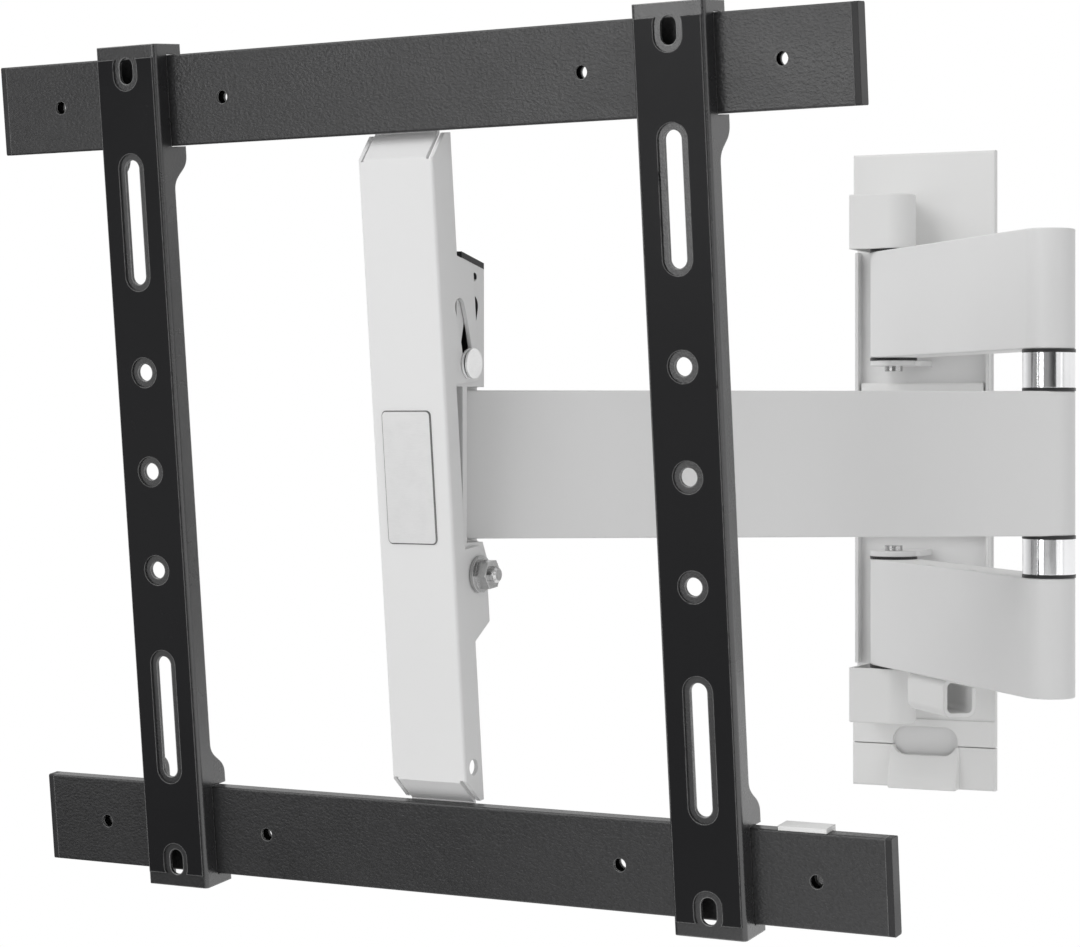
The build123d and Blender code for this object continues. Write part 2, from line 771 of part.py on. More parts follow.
# Tilt pin: slides up and down in the crossing slots, with a roller in each cheek and a grooved button
# at each end
button_rim = (tilt_pin_button_gauge - tilt_pin_groove) / 2
with BuildPart() as tilt_pin:
    with BuildSketch(on(HEAD, Plane.YZ, x=-nut_face, y=-pin_ahead, z=pin_above)):
        Circle(tilt_pin_width / 2)
    extrude(amount=2 * nut_face)
    for side in (1, -1):
        for start, width, gauge in (
            (cheek_inner + slip_gap, tilt_pin_roller, head_plate - 2 * slip_gap),
            (nut_face, tilt_pin_button, button_rim),
            (nut_face + button_rim, tilt_pin_button - 2 * tilt_pin_groove, tilt_pin_groove),
            (nut_face + button_rim + tilt_pin_groove, tilt_pin_button, button_rim),
        ):
            with BuildSketch(on(HEAD, Plane.YZ, x=side * start, y=-pin_ahead, z=pin_above)):
                Circle(width / 2)
            extrude(amount=side * gauge)
keep(tilt_pin, "tilt_pin")

# Post: bent sheet, with a web in front, a flange at each side and a tab behind each rail
rail_rear = rail_front + rail_thick
tab_foot = rail_v - rail_height / 2 - post_tab_gap
post_bend = tab_foot - (rail_rear - post_front)
post_tab_end = rail_v + post_tab_rise
post_flange_end = post_bend + post_flange_over
bend_shift = post_sheet * tan(radians(45 / 2))
post_slot_width = tilt_pin_width + 2 * slip_gap
slot_foot = along_post_slot(-pin_overtravel)
slot_top = along_post_slot(pin_travel)
post_slot = ThreePointArc(slot_foot, along_post_slot(pin_travel / 2), slot_top)
upper_ear_rear = slot_foot[0] + post_slot_width / 2 + upper_ear_land
upper_ear_foot = slot_foot[1] - post_slot_width / 2 - upper_ear_foot_land
upper_ear_top = slot_top[1] + post_slot_width / 2 + upper_ear_rise
lower_ear_top = lower_ear_above - face_above
lower_ear_rear = lower_ear_land + face_ahead
lower_ear_bottom = -lower_ear_below - face_above
flange_slope_end = post_flange_end - (post_bend - post_sheet / 2) + post_front
with BuildPart() as post:
    with BuildSketch(on(PLATE, Plane.XZ, y=post_front)):
        Rectangle(post_width, 2 * post_bend - post_sheet)
    extrude(amount=-post_sheet)
    for side in (1, -1):
        with BuildSketch(on(PLATE, Plane.YZ)):
            Polygon(
                (post_front, side * (post_bend - post_sheet)),
                (post_front, side * post_bend),
                (rail_rear, side * tab_foot),
                (rail_rear, side * post_tab_end),
                (rail_rear + post_sheet, side * post_tab_end),
                (rail_rear + post_sheet, side * (tab_foot - bend_shift)),
                (post_front + post_sheet, side * (post_bend - bend_shift)),
                (post_front + post_sheet, side * (post_bend - post_sheet)),
                align=None,
            )
        extrude(amount=post_facet_width / 2, both=True)
        with BuildSketch(on(PLATE, Plane.YZ, x=side * post_side)):
            Polygon(
                (post_front, post_bend - post_sheet / 2),
                (flange_slope_end, post_flange_end),
                (post_flange_rear, post_flange_end),
                (post_flange_rear, upper_ear_top + upper_ear_slope),
                (upper_ear_rear, upper_ear_top),
                (upper_ear_rear, upper_ear_foot),
                (post_waist_rear, upper_ear_foot),
                (post_waist_rear, lower_ear_top),
                (lower_ear_rear - lower_ear_round, lower_ear_top),
                (lower_ear_rear, lower_ear_top - lower_ear_round),
                (lower_ear_rear, lower_ear_bottom),
                (post_flange_low_rear, lower_ear_bottom - lower_ear_taper),
                (post_flange_low_rear, -post_flange_end),
                (flange_slope_end, -post_flange_end),
                (post_front, post_sheet / 2 - post_bend),
                align=None,
            )
            SlotArc(post_slot, post_slot_width, mode=Mode.SUBTRACT)
            with Locations((post_foot_hole_rear, post_foot_hole_inset - post_bend)):
                Circle(post_foot_hole / 2, mode=Mode.SUBTRACT)
            with Locations((face_ahead, -face_above)):
                Circle(tilt_bolt_width / 2 + turn_gap, mode=Mode.SUBTRACT)
        extrude(amount=-side * post_sheet)
    with BuildSketch(on(PLATE, Plane.XZ, y=rail_rear)):
        with GridLocations(2 * rail_screw_u, 2 * rail_v, 2, 2):
            Circle(rail_screw / 2 + press_gap)
    extrude(amount=-post_sheet, mode=Mode.SUBTRACT)
    fillet(front_bends(post, PLATE), post_bend_round)
keep(post, "post")

with BuildPart() as plaque:
    with BuildSketch(on(PLATE, Plane.XZ, x=plaque_u, y=post_front, z=plaque_v)):
        RectangleRounded(plaque_width, plaque_height, plaque_corner)
    extrude(amount=plaque_gauge)
keep(plaque, "plaque")


def rail(side):
    """A flat tube across the post, with holes right through it."""
    with BuildPart() as tube:
        with BuildSketch(on(PLATE, Plane.YZ, y=(rail_front + rail_rear) / 2, z=side * rail_v)):
            RectangleRounded(rail_thick, rail_height, rail_corner)
            Rectangle(rail_thick - 2 * rail_wall, rail_height - 2 * rail_wall, mode=Mode.SUBTRACT)
        extrude(amount=rail_length / 2 - rail_cap, both=True)
        with BuildSketch(on(PLATE, Plane.XZ, y=rail_front, z=side * rail_v)):
            for out in (1, 2):
                with GridLocations(2 * out * rail_hole_pitch, 0, 2, 1):
                    Circle(rail_hole / 2)
        extrude(amount=-rail_thick, mode=Mode.SUBTRACT)
        with BuildSketch(on(PLATE, Plane.XZ, y=rail_rear, z=side * rail_v)):
            with GridLocations(2 * rail_screw_u, 0, 2, 1):
                Circle(rail_screw / 2 + press_gap)
        extrude(amount=rail_wall, mode=Mode.SUBTRACT)
    return tube


for side, place in ((1, "top"), (-1, "bottom")):
    keep(rail(side), f"{place}_rail")

with BuildPart() as rail_end_caps:
    for side in (1, -1):
        for end in (1, -1):
            start = end * (rail_length / 2 - rail_cap)
            middle = (rail_front + rail_rear) / 2
            with BuildSketch(on(PLATE, Plane.YZ, x=start, y=middle, z=side * rail_v)):
                RectangleRounded(rail_thick, rail_height, rail_corner)
            extrude(amount=end * rail_cap)
            with BuildSketch(on(PLATE, Plane.YZ, x=start, y=middle, z=side * rail_v)):
                Rectangle(rail_thick - 2 * (rail_wall + press_gap), rail_height - 2 * (rail_wall + press_gap))
            extrude(amount=-end * rail_cap_plug)
keep(rail_end_caps, "rail_end_caps")

with BuildPart() as rail_screws:
    with BuildSketch(on(PLATE, Plane.XZ, y=rail_rear + post_sheet)):
        with GridLocations(2 * rail_screw_u, 2 * rail_v, 2, 2):
            Circle(rail_screw / 2)
    extrude(amount=post_sheet + rail_screw_reach)
    with BuildSketch(on(PLATE, Plane.XZ, y=rail_rear + post_sheet)):
        with GridLocations(2 * rail_screw_u, 2 * rail_v, 2, 2):
            Circle(rail_screw_head / 2)
    extrude(amount=-rail_screw_head_height)
keep(rail_screws, "rail_screws")

# Cable clip on the lower rail: hung over the rail's upper edge, with a trough behind it
clip_level = rail_clip_wall / 2 - rail_v + rail_height / 2
clip_back = rail_rear + rail_clip_wall / 2
rail_clip_u = bracket_u + bracket_width / 2 + rail_clip_gap + rail_clip_width / 2
with BuildPart() as rail_cable_clip:
    with BuildSketch(on(PLATE, Plane.YZ, x=rail_clip_u - rail_clip_width / 2)):
        with BuildLine():
            Polyline(
                (rail_front, clip_level),
                (clip_back, clip_level),
                (clip_back, clip_level - rail_clip_drop),
                (clip_back + rail_clip_reach, clip_level - rail_clip_drop),
                (clip_back + rail_clip_reach, clip_level - rail_clip_tip),
            )
        trace(line_width=rail_clip_wall)
    extrude(amount=rail_clip_width)
keep(rail_cable_clip, "rail_cable_clip")


bracket_half = rail_v + rail_height / 2 + bracket_overhang
end_hole_v = bracket_half - end_hole_inset


def screen_openings(margin):
    """The holes and slots for the screen's screws, drawn larger by a margin all round."""
    with Locations((0, 0), (0, screen_hole_pitch), (0, -screen_hole_pitch)):
        Circle(screen_hole / 2 + margin, mode=Mode.SUBTRACT)
    slot_v = (screen_slot_low + screen_slot_high) / 2
    slot_length = screen_slot_high - screen_slot_low
    with Locations((0, slot_v), (0, -slot_v)):
        SlotOverall(
            slot_length + 2 * margin, screen_slot_width + 2 * margin, rotation=90, mode=Mode.SUBTRACT
        )
    with Locations((0, end_hole_v), (0, -end_hole_v)):
        SlotOverall(
            end_hole_length + 2 * margin, end_hole_width + 2 * margin, rotation=90, mode=Mode.SUBTRACT
        )


def bracket(frame):
    """A folded upright with flanges that hook over both rails."""
    rail_top = rail_v + rail_height / 2 + slip_gap
    rail_low = rail_v - rail_height / 2 - slip_gap
    seat = rail_front - slip_gap
    finger_foot = rail_low - bracket_finger
    taper_foot = finger_foot - bracket_taper
    with BuildPart() as upright:
        with BuildSketch(on(frame, Plane.XZ, y=pad_gauge)):
            Rectangle(bracket_width, 2 * bracket_half)
            screen_openings(0)
        extrude(amount=-bracket_sheet)
        for side in (1, -1):
            with BuildSketch(on(frame, Plane.YZ, x=side * bracket_width / 2)):
                with BuildLine() as half:
                    Polyline(
                        (pad_gauge, 0),
                        (pad_gauge, bracket_half),
                        (bracket_hook, bracket_half),
                        (bracket_hook, rail_top - bracket_lip),
                        (rail_rear + slip_gap, rail_top - bracket_lip),
                        (rail_rear + slip_gap, rail_top),
                        (seat, rail_top),
                        (seat, rail_low),
                        (bracket_hook, rail_low),
                        (bracket_hook, finger_foot),
                    )
                    Bezier(
                        (bracket_hook, finger_foot),
                        (bracket_hook, finger_foot - bracket_taper / 2),
                        (bracket_flange, taper_foot + bracket_taper / 2),
                        (bracket_flange, taper_foot),
                    )
                    Line((bracket_flange, taper_foot), (bracket_flange, 0))
                    mirror(half.line, about=Plane.XZ)
                make_face()
            extrude(amount=-side * bracket_sheet)
        fillet(front_bends(upright, frame), bracket_edge)
    return upright


def bracket_pad(frame):
    """A thin rubber strip on a bracket's face, cut away round the openings."""
    with BuildPart() as pad:
        with BuildSketch(on(frame, Plane.XZ, y=pad_gauge)):
            Rectangle(pad_width, 2 * (bracket_half - pad_end))
            screen_openings(pad_margin)
        extrude(amount=pad_gauge)
    return pad


for side, place in ((-1, "left"), (1, "right")):
    upright_frame = PLATE * Location((side * bracket_u, 0, 0))
    keep(bracket(upright_frame), f"{place}_bracket")
    keep(bracket_pad(upright_frame), f"{place}_bracket_pad")
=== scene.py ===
import math

import bpy
from mathutils import Euler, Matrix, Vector


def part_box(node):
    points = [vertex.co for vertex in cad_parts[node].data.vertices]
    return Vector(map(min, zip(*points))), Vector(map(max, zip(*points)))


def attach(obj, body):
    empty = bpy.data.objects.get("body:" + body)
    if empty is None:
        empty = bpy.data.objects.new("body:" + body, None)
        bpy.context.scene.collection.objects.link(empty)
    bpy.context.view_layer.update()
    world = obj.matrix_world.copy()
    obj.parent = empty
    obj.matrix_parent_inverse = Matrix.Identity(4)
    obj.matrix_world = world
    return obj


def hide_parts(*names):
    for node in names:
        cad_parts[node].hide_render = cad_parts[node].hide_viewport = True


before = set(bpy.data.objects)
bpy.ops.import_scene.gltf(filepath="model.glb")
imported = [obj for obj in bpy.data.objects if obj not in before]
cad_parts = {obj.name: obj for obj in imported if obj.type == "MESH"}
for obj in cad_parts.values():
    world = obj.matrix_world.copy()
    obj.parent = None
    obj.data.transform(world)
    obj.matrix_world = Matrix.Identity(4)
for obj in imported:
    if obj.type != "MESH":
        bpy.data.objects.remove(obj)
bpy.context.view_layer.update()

# Wall plate: folded sheet steel, screwed to the wall, with a bent bracket for each hinge.
# Its satin white powder coat has the faint orange peel that such a coat dries with, and
# is thin and a little darker along the edges of the sheet.


def feed(tree, socket, value):
    """Give a socket its value: a link from another socket, or a constant."""
    if isinstance(value, bpy.types.NodeSocket):
        tree.links.new(value, socket)
    else:
        socket.default_value = value


def maths(tree, operation, *values):
    """The result of a Math node."""
    node = tree.nodes.new("ShaderNodeMath")
    node.operation = operation
    for socket, value in zip(node.inputs, values):
        feed(tree, socket, value)
    return node.outputs["Value"]


def vector_maths(tree, operation, *values):
    """The result of a Vector Math node, which is a number for a dot product and a length."""
    node = tree.nodes.new("ShaderNodeVectorMath")
    node.operation = operation
    for socket, value in zip(node.inputs, values):
        feed(tree, socket, value)
    return node.outputs["Value" if operation in ("DOT_PRODUCT", "LENGTH") else "Vector"]


def spread(tree, value, span, result=(0.0, 1.0)):
    """Run over the result as a value crosses the span, and hold still on either side of it."""
    node = tree.nodes.new("ShaderNodeMapRange")
    for socket, number in zip(node.inputs, (value, *span, *result)):
        feed(tree, socket, number)
    return node.outputs["Result"]


def noise(tree, place, scale, detail, roughness=0.5):
    """A noise between 0 and 1 that is read at a place."""
    node = tree.nodes.new("ShaderNodeTexNoise")
    feed(tree, node.inputs["Vector"], place)
    feed(tree, node.inputs["Scale"], scale)
    feed(tree, node.inputs["Detail"], detail)
    feed(tree, node.inputs["Roughness"], roughness)
    return node.outputs["Fac"]


def blend_colour(tree, factor, first, second, mode="MIX"):
    """The second colour laid over the first by a factor, in the colour sockets of a Mix node."""
    node = tree.nodes.new("ShaderNodeMix")
    node.data_type = "RGBA"
    node.blend_type = mode
    for socket, value in ((0, factor), (6, first), (7, second)):
        feed(tree, node.inputs[socket], value)
    return node.outputs[2]


def own_place(tree):
    """A point's place on its piece, which stays the same when the piece moves."""
    return tree.nodes.new("ShaderNodeTexCoord").outputs["Object"]


def grained_normal(tree, normal, height, depth):
    """A normal with a grain of some depth raised on it."""
    bump = tree.nodes.new("ShaderNodeBump")
    feed(tree, bump.inputs["Strength"], 1.0)
    feed(tree, bump.inputs["Distance"], depth)
    feed(tree, bump.inputs["Height"], height)
    feed(tree, bump.inputs["Normal"], normal)
    return bump.outputs["Normal"]


def new_group(name, inputs, outputs):
    """An empty node group with named sockets, and its input and output nodes."""
    tree = bpy.data.node_groups.new(name, "ShaderNodeTree")
    for label, kind, value in inputs:
        socket = tree.interface.new_socket(label, in_out="INPUT", socket_type=kind)
        socket.default_value = value
    for label, kind in outputs:
        tree.interface.new_socket(label, in_out="OUTPUT", socket_type=kind)
    return tree, tree.nodes.new("NodeGroupInput"), tree.nodes.new("NodeGroupOutput")


def add_group(tree, group, values):
    """The outputs of a node group that is placed in a tree with its own values."""
    node = tree.nodes.new("ShaderNodeGroup")
    node.node_tree = group
    for label, value in values.items():
        feed(tree, node.inputs[label], value)
    return node.outputs


def rounded_edge_group():
    """Edges as the eye sees them: the normal rolls over each edge, and a mask marks where it does."""
    tree, given, out = new_group(
        "RoundedEdge",
        [("Radius", "NodeSocketFloat", 0.0006)],
        [("Normal", "NodeSocketVector"), ("Edge", "NodeSocketFloat")],
    )
    bevel = tree.nodes.new("ShaderNodeBevel")
    bevel.samples = 6
    feed(tree, bevel.inputs["Radius"], given.outputs["Radius"])
    flat = tree.nodes.new("ShaderNodeNewGeometry").outputs["Normal"]
    turn = vector_maths(tree, "DOT_PRODUCT", bevel.outputs["Normal"], flat)
    feed(tree, out.inputs["Normal"], bevel.outputs["Normal"])
    feed(tree, out.inputs["Edge"], spread(tree, turn, span=(0.99, 0.88)))
    return tree


rounded_edge = rounded_edge_group()


def coat_group():
    """A sprayed or moulded skin: peel in its surface, handling marks in its gloss, and a colour along its
    edges that is wear on pale finishes and a painted highlight on black ones.
    """
    tree, given, out = new_group(
        "CoatSkin",
        [
            ("Colour", "NodeSocketColor", (0.8, 0.8, 0.8, 1)),
            ("Worn and sheen", "NodeSocketColor", (0.6, 0.6, 0.6, 1)),
            ("Rough low", "NodeSocketFloat", 0.4),
            ("Rough high", "NodeSocketFloat", 0.5),
            ("Peel scale", "NodeSocketFloat", 600.0),
            ("Peel stretch", "NodeSocketVector", (1.0, 1.0, 1.0)),
            ("Peel depth", "NodeSocketFloat", 0.00002),
            ("Speckle", "NodeSocketFloat", 0.0),
            ("Wear and sheen", "NodeSocketFloat", 0.3),
            ("Edge radius", "NodeSocketFloat", 0.0006),
        ],
        [("Colour", "NodeSocketColor"), ("Roughness", "NodeSocketFloat"), ("Normal", "NodeSocketVector")],
    )
    finish = given.outputs
    place = own_place(tree)
    edge = add_group(tree, rounded_edge, {"Radius": finish["Edge radius"]})
    stretched = vector_maths(tree, "MULTIPLY", place, finish["Peel stretch"])
    peel = noise(tree, stretched, finish["Peel scale"], detail=2.0)
    feed(tree, out.inputs["Normal"], grained_normal(tree, edge["Normal"], peel, finish["Peel depth"]))

    handled = noise(tree, place, scale=22.0, detail=5.0, roughness=0.6)
    rough = spread(tree, handled, span=(0.3, 0.7), result=(finish["Rough low"], finish["Rough high"]))
    feed(tree, out.inputs["Roughness"], rough)

    cloud = spread(tree, noise(tree, place, scale=9.0, detail=3.0), span=(0.3, 0.7), result=(0.0, 0.35))
    mottled = blend_colour(tree, cloud, finish["Colour"], (0.94, 0.94, 0.935, 1), "MULTIPLY")
    fleck = spread(tree, peel, span=(0.3, 0.7), result=(-1.0, 1.0))
    fleck = maths(tree, "ADD", maths(tree, "MULTIPLY", fleck, finish["Speckle"]), 1.0)
    mottled = blend_colour(tree, 1.0, mottled, fleck, "MULTIPLY")
    # Edge colour laid in patches along the rounded edges: on pale finishes it is wear, on black finishes it
    # is pale and strong, a painted highlight.
    edge_patches = noise(tree, place, scale=160.0, detail=4.0, roughness=0.65)
    worn_and_sheen = maths(tree, "MULTIPLY", edge["Edge"], spread(tree, edge_patches, span=(0.25, 0.65)))
    worn_and_sheen = maths(tree, "MULTIPLY", worn_and_sheen, finish["Wear and sheen"])
    feed(tree, out.inputs["Colour"], blend_colour(tree, worn_and_sheen, mottled, finish["Worn and sheen"]))
    return tree


coat_skin = coat_group()


def finished(name, skin, values):
    """A material and its shader, which takes its colour, roughness and normal from a skin."""
    material = bpy.data.materials.new(name)
    material.use_nodes = True
    tree = material.node_tree
    shader = tree.nodes["Principled BSDF"]
    shown = add_group(tree, skin, values)
    for socket, label in (("Base Color", "Colour"), ("Roughness", "Roughness"), ("Normal", "Normal")):
        feed(tree, shader.inputs[socket], shown[label])
    return material, shader


def coated(
    name,
    colour,
    worn_and_sheen,
    rough,
    peel_scale,
    peel_depth,
    wear_and_sheen,
    edge_radius,
    specular=0.5,
    speckle=0.0,
    stretch=(1, 1, 1),
):
    """A painted or moulded finish made of the coat skin, with its own colour, gloss and grain."""
    values = {
        "Colour": (*colour, 1),
        "Worn and sheen": (*worn_and_sheen, 1),
        "Rough low": rough[0],
        "Rough high": rough[1],
        "Peel scale": peel_scale,
        "Peel stretch": stretch,
        "Peel depth": peel_depth,
        "Speckle": speckle,
        "Wear and sheen": wear_and_sheen,
        "Edge radius": edge_radius,
    }
    material, shader = finished(name, coat_skin, values)
    shader.inputs["Specular IOR Level"].default_value = specular
    return material


def dress(material, *nodes):
    """Give CAD nodes a finish in place of the one they were packed with."""
    for node in nodes:
        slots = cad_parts[node].data.materials
        slots.clear()
        slots.append(material)


def grey(level):
    """A neutral colour."""
    return (level, level, level)


white_coat = coated(
    "white_powder_coat",
    colour=grey(0.80),
    worn_and_sheen=grey(0.62),
    rough=(0.42, 0.52),
    peel_scale=700.0,
    peel_depth=0.000012,
    wear_and_sheen=0.35,
    edge_radius=0.0006,
)
dress(white_coat, "wall_plate", "upper_hinge_bracket", "lower_hinge_bracket")

# Covers: thin white mouldings that clip over the ends of the wall plate and hide its
# screws. The lower two meet in a level seam across the window. They are a shade
# warmer and more matt than the steel, with the fine spark grain of their tool.
white_moulding = coated(
    "white_moulding",
    colour=(0.85, 0.85, 0.845),
    worn_and_sheen=(0.74, 0.74, 0.73),
    rough=(0.46, 0.58),
    peel_scale=1500.0,
    peel_depth=0.000014,
    wear_and_sheen=0.2,
    edge_radius=0.0008,
)
dress(white_moulding, "top_cover", "lower_cover", "bottom_cap", "centre_insert")
dress(white_moulding, "upper_hinge_cover", "lower_hinge_cover")

# Hinge bolts: zinc-plated steel. They stand through the ears of the hinge brackets,
# and their ends show below the upper arm and above the lower one.


def metal_group():
    """Plated or brushed metal: fine lines drawn one way, a cloudy gloss and rolled edges."""
    tree, given, out = new_group(
        "DrawnMetal",
        [
            ("Colour", "NodeSocketColor", (0.6, 0.6, 0.6, 1)),
            ("Dull", "NodeSocketColor", (0.4, 0.4, 0.4, 1)),
            ("Rough low", "NodeSocketFloat", 0.2),
            ("Rough high", "NodeSocketFloat", 0.4),
            ("Line scale", "NodeSocketFloat", 2000.0),
            ("Line stretch", "NodeSocketVector", (1.0, 1.0, 1.0)),
            ("Line depth", "NodeSocketFloat", 0.000004),
            ("Edge radius", "NodeSocketFloat", 0.0003),
        ],
        [("Colour", "NodeSocketColor"), ("Roughness", "NodeSocketFloat"), ("Normal", "NodeSocketVector")],
    )
    finish = given.outputs
    place = own_place(tree)
    edge = add_group(tree, rounded_edge, {"Radius": finish["Edge radius"]})
    stretched = vector_maths(tree, "MULTIPLY", place, finish["Line stretch"])
    lines = noise(tree, stretched, finish["Line scale"], detail=4.0, roughness=0.7)
    feed(tree, out.inputs["Normal"], grained_normal(tree, edge["Normal"], lines, finish["Line depth"]))

    cloud = noise(tree, place, scale=120.0, detail=4.0, roughness=0.6)
    mean = maths(tree, "MULTIPLY", maths(tree, "ADD", cloud, lines), 0.5)
    rough = spread(tree, mean, span=(0.35, 0.65), result=(finish["Rough low"], finish["Rough high"]))
    feed(tree, out.inputs["Roughness"], rough)
    dull = spread(tree, mean, span=(0.45, 0.7), result=(0.0, 0.7))
    feed(tree, out.inputs["Colour"], blend_colour(tree, dull, finish["Colour"], finish["Dull"]))
    return tree


drawn_metal = metal_group()


def metallic(name, colour, dull, rough, line_scale, line_depth, edge_radius, stretch=(1, 1, 1)):
    """A bare or plated metal made of the drawn-metal skin."""
    values = {
        "Colour": (*colour, 1),
        "Dull": (*dull, 1),
        "Rough low": rough[0],
        "Rough high": rough[1],
        "Line scale": line_scale,
        "Line stretch": stretch,
        "Line depth": line_depth,
        "Edge radius": edge_radius,
    }
    material, shader = finished(name, drawn_metal, values)
    shader.inputs["Metallic"].default_value = 1.0
    return material


zinc = metallic(
    "zinc_plate",
    colour=grey(0.50),
    dull=grey(0.28),
    rough=(0.14, 0.30),
    line_scale=900.0,
    line_depth=0.000008,
    edge_radius=0.0004,
)
dress(zinc, "hinge_bolts")

# Wall arms: hollow aluminium castings, ground smooth and painted satin white, with a
# snap-in moulded lid along the face that looks at the middle arm. The hook for
# cables under the lower arm is a white moulding too.
arm_paint = coated(
    "arm_paint",
    colour=grey(0.80),
    worn_and_sheen=grey(0.64),
    rough=(0.40, 0.50),
    peel_scale=420.0,
    peel_depth=0.000014,
    wear_and_sheen=0.25,
    edge_radius=0.0008,
)
dress(arm_paint, "upper_wall_arm", "lower_wall_arm")
dress(white_moulding, "upper_wall_arm_lid", "lower_wall_arm_lid", "arm_cable_clip")

# Bushes and washers: pale low-friction bushes on the bolts, and black washers that
# stand a little proud of the arms and show as dark lines between the white parts.
bush_plastic = coated(
    "bush_plastic",
    colour=(0.66, 0.64, 0.58),
    worn_and_sheen=(0.5, 0.48, 0.43),
    rough=(0.4, 0.5),
    peel_scale=1200.0,
    peel_depth=0.00001,
    wear_and_sheen=0.2,
    edge_radius=0.0003,
)
dress(bush_plastic, "hinge_bushes", "elbow_bushes", "head_bushes")
washer_plastic = coated(
    "washer_plastic",
    colour=(0.022, 0.022, 0.023),
    worn_and_sheen=grey(0.08),
    rough=(0.35, 0.5),
    peel_scale=1500.0,
    peel_depth=0.000012,
    wear_and_sheen=0.3,
    edge_radius=0.0003,
    specular=0.35,
)
dress(washer_plastic, "hinge_washers", "elbow_washers")

# Elbow: a steel shaft through both wall arms, closed by white caps. Where it is bare,
# between the washers, polished and plated spacers stand round it.
dress(zinc, "elbow_shaft")
dress(white_moulding, "elbow_caps")
chrome = metallic(
    "spacer_chrome",
    colour=(0.82, 0.82, 0.83),
    dull=(0.72, 0.72, 0.73),
    rough=(0.10, 0.18),
    line_scale=700.0,
    line_depth=0.000003,
    edge_radius=0.0005,
    stretch=(1, 1, 0.02),
)
dress(chrome, "elbow_spacers")

# Middle arm: one longer casting between the elbow and the head, in the same paint as
# the wall arms, with its moulded lid below.
dress(arm_paint, "mid_arm")
dress(white_moulding, "mid_arm_lid")

# Swivel head: bent and welded steel round the end of the middle arm, painted white.
# White washers part it from the arm, and the walls of its slots carry painted shade, a
# near-black colour that stands in for the shade inside them. Its pin and nut, and the
# bolt and flange nut on which the post tilts, are plated.
screen_turn = math.radians(-5.1)
tilt_axis = (math.cos(screen_turn), math.sin(screen_turn), 0.0)
wall_span = (0.35, 0.25)
level_span = (0.65, 0.55)
slot_margin = 0.003
slot_fade = 0.0004
slot_painted_shade = (0.03, 0.03, 0.03, 1)


def middle_of(node):
    """The middle of a node's box at rest."""
    return tuple((low + high) / 2 for low, high in zip(*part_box(node)))


def cut_wall_group():
    """A mask of the walls that run along an axis, and each point's offset from a middle."""
    tree, given, out = new_group(
        "CutWall",
        [("Axis", "NodeSocketVector", (1.0, 0.0, 0.0)), ("Middle", "NodeSocketVector", (0.0, 0.0, 0.0))],
        [("Wall", "NodeSocketFloat"), ("Offset", "NodeSocketVector")],
    )
    facing = tree.nodes.new("ShaderNodeTexCoord").outputs["Normal"]
    along = maths(tree, "ABSOLUTE", vector_maths(tree, "DOT_PRODUCT", facing, given.outputs["Axis"]))
    feed(tree, out.inputs["Wall"], spread(tree, along, wall_span))
    offset = vector_maths(tree, "SUBTRACT", own_place(tree), given.outputs["Middle"])
    feed(tree, out.inputs["Offset"], offset)
    return tree


cut_wall = cut_wall_group()


def paint_shade(material, mask, colour):
    """Paint shade over a finish: lay a dark colour where the mask says."""
    tree = material.node_tree
    paint = tree.nodes["Principled BSDF"].inputs["Base Color"]
    feed(tree, paint, blend_colour(tree, mask, paint.links[0].from_socket, colour))


def split_vector(tree, vector):
    """The X, Y and Z of a vector."""
    node = tree.nodes.new("ShaderNodeSeparateXYZ")
    feed(tree, node.inputs["Vector"], vector)
    return node.outputs


# Painted shade: the walls of the head's slots, within the liner's reach, are laid over with a near-black
# colour.
head_coat_painted_shade = white_coat.copy()
head_coat_painted_shade.name = "head_coat_painted_slot_shade"
tree = head_coat_painted_shade.node_tree
cut = add_group(tree, cut_wall, {"Axis": tilt_axis, "Middle": middle_of("head_liner")})
mask = cut["Wall"]
offset = split_vector(tree, vector_maths(tree, "ABSOLUTE", cut["Offset"]))
liner_low, liner_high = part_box("head_liner")
for axis in (1, 2):
    reach = (liner_high[axis] - liner_low[axis]) / 2 - slot_margin
    mask = maths(tree, "MULTIPLY", mask, spread(tree, offset[axis], span=(reach + slot_fade, reach)))
facing = split_vector(tree, tree.nodes.new("ShaderNodeTexCoord").outputs["Normal"])
mask = maths(tree, "MULTIPLY", mask, spread(tree, facing["Z"], level_span))
paint_shade(head_coat_painted_shade, mask, slot_painted_shade)
dress(head_coat_painted_shade, "swivel_head")
dress(white_moulding, "head_washers")
dress(zinc, "head_pin", "head_nut", "tilt_bolt", "tilt_nut")

# Liner: a black moulding between the head's upper cheeks, which shows as a dark strip
# along their sloping tops. Its black, seen through their slots, is also put there as
# painted shade inside the slots.
cap_plastic = coated(
    "cap_plastic",
    colour=(0.022, 0.022, 0.023),
    worn_and_sheen=grey(0.09),
    rough=(0.42, 0.55),
    peel_scale=1400.0,
    peel_depth=0.00003,
    wear_and_sheen=0.3,
    edge_radius=0.0006,
    specular=0.35,
)
dress(cap_plastic, "head_liner")

